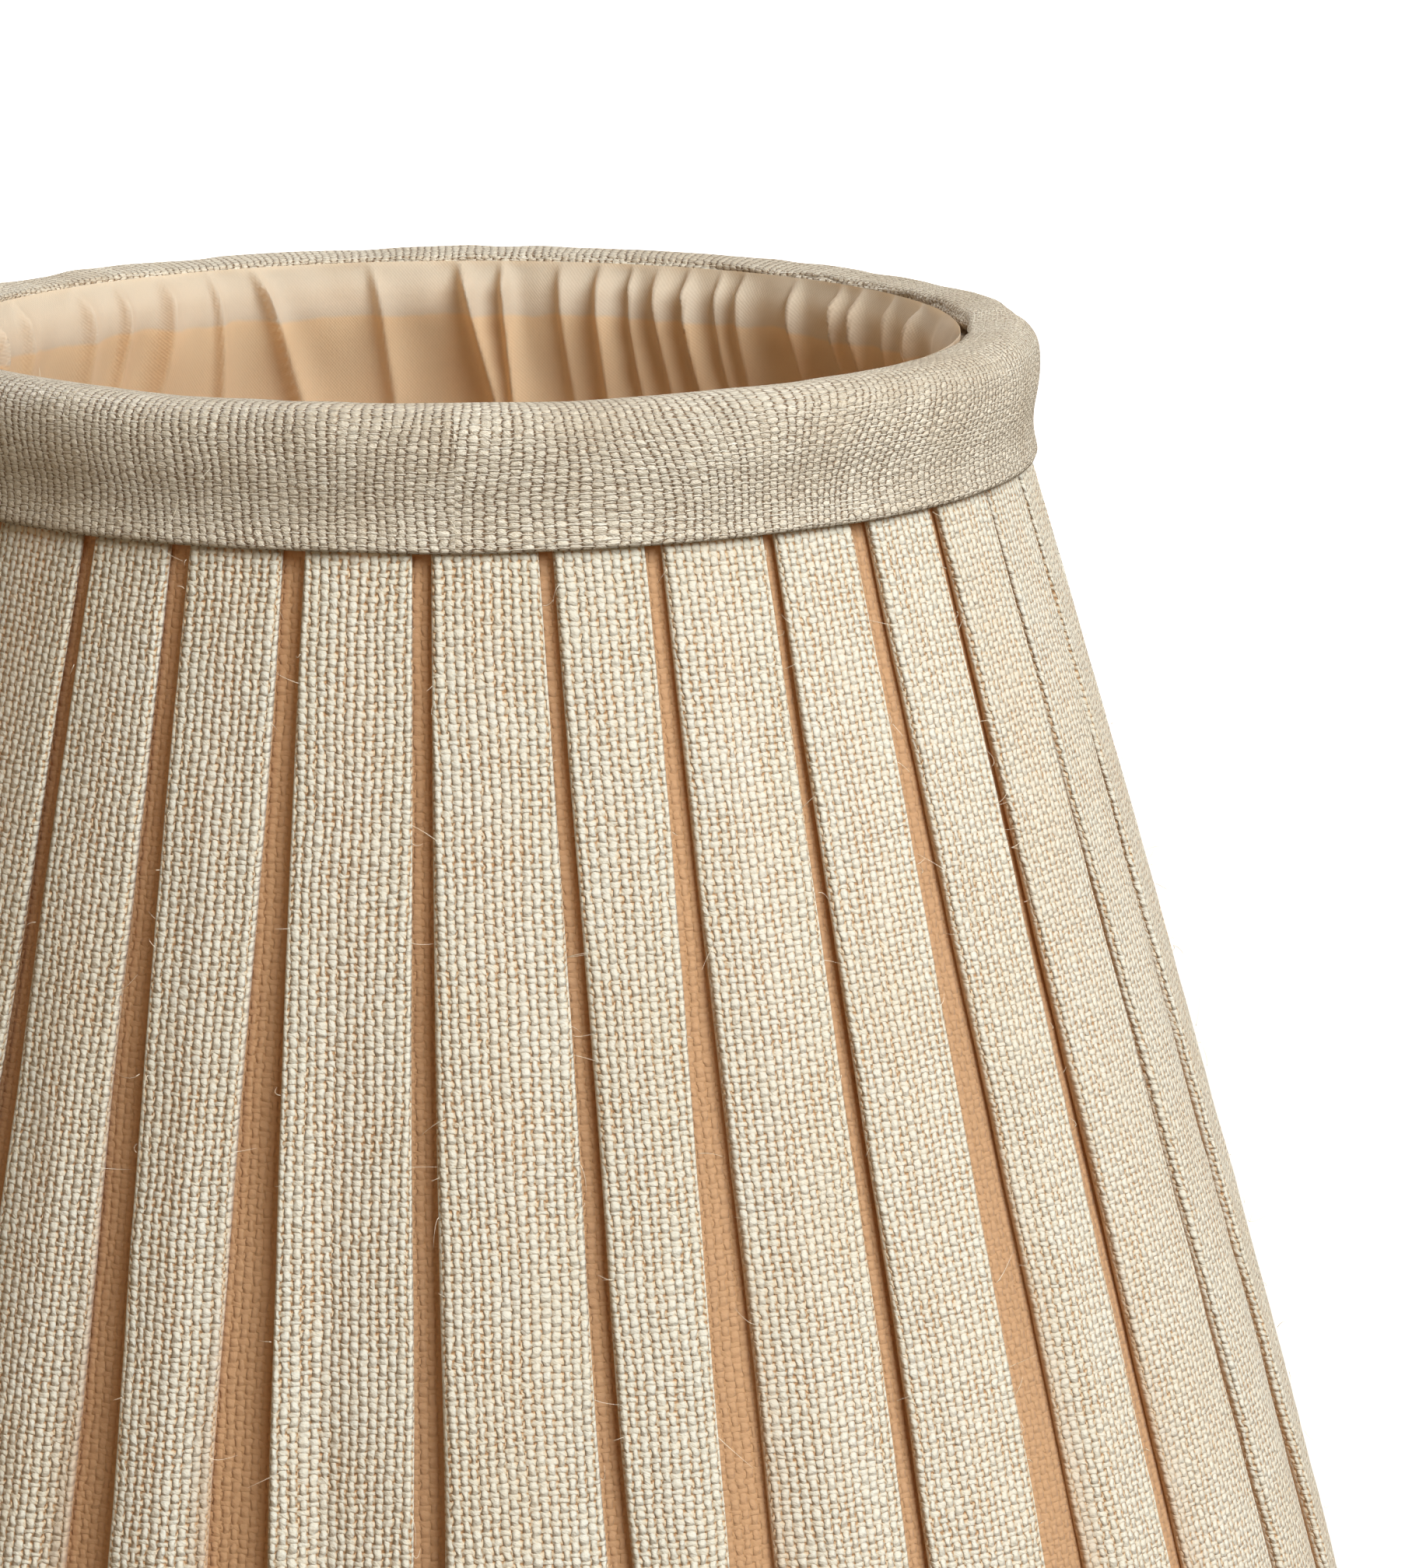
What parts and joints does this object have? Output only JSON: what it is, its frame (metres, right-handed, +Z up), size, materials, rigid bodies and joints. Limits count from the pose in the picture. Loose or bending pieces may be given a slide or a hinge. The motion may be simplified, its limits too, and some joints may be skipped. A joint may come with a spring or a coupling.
{
  "type": "pleated lamp shade",
  "caption": "Small pleated linen empire lamp shade on a taped wire frame, lined inside, with bound rims and a tilting recessed fitter ring.",
  "frame": {"origin": "centre of the circle that the bottom rim stands on, in the plane of its lowest face", "axes": "+Z up along the shade's axis; the fitter arms and their pivot axis lie along X"},
  "size_m": [0.219, 0.219, 0.18],
  "materials": {
    "frame_wire": "white plastic-coated steel wire",
    "cotton_tape": "woven cotton tape",
    "slub_linen": "coarse natural slub linen",
    "binding_linen": "finer woven binding with a slight sheen",
    "lining_cloth": "thin smooth cream lining",
    "fitter_steel": "zinc plated"
  },
  "bodies": {
    "shade": {"top_ring": "frame_wire", "bottom_ring": "frame_wire", "rib_1": "frame_wire", "rib_2": "frame_wire", "rib_3": "frame_wire", "rib_4": "frame_wire", "rib_5": "frame_wire", "rib_6": "frame_wire", "rib_7": "frame_wire", "rib_8": "frame_wire", "top_ring_tape": "cotton_tape", "bottom_ring_tape": "cotton_tape", "pleated_cover": "slub_linen", "top_binding": "binding_linen", "bottom_binding": "binding_linen", "lining": "lining_cloth", "arm_neatener_right": "lining_cloth", "arm_neatener_left": "lining_cloth", "fitter_arm_right": "fitter_steel", "fitter_arm_left": "fitter_steel"},
    "fitter": {"fitter_ring": "fitter_steel", "pivot_rivet_right": "fitter_steel", "pivot_rivet_left": "fitter_steel"}
  },
  "joints": [
    {"name": "fitter_tilt", "type": "hinge", "parent": "shade", "child": "fitter", "pos_m": [0, 0, 0.148], "axis": [1, 0, 0], "range_deg": [-45, 45]}
  ]
}
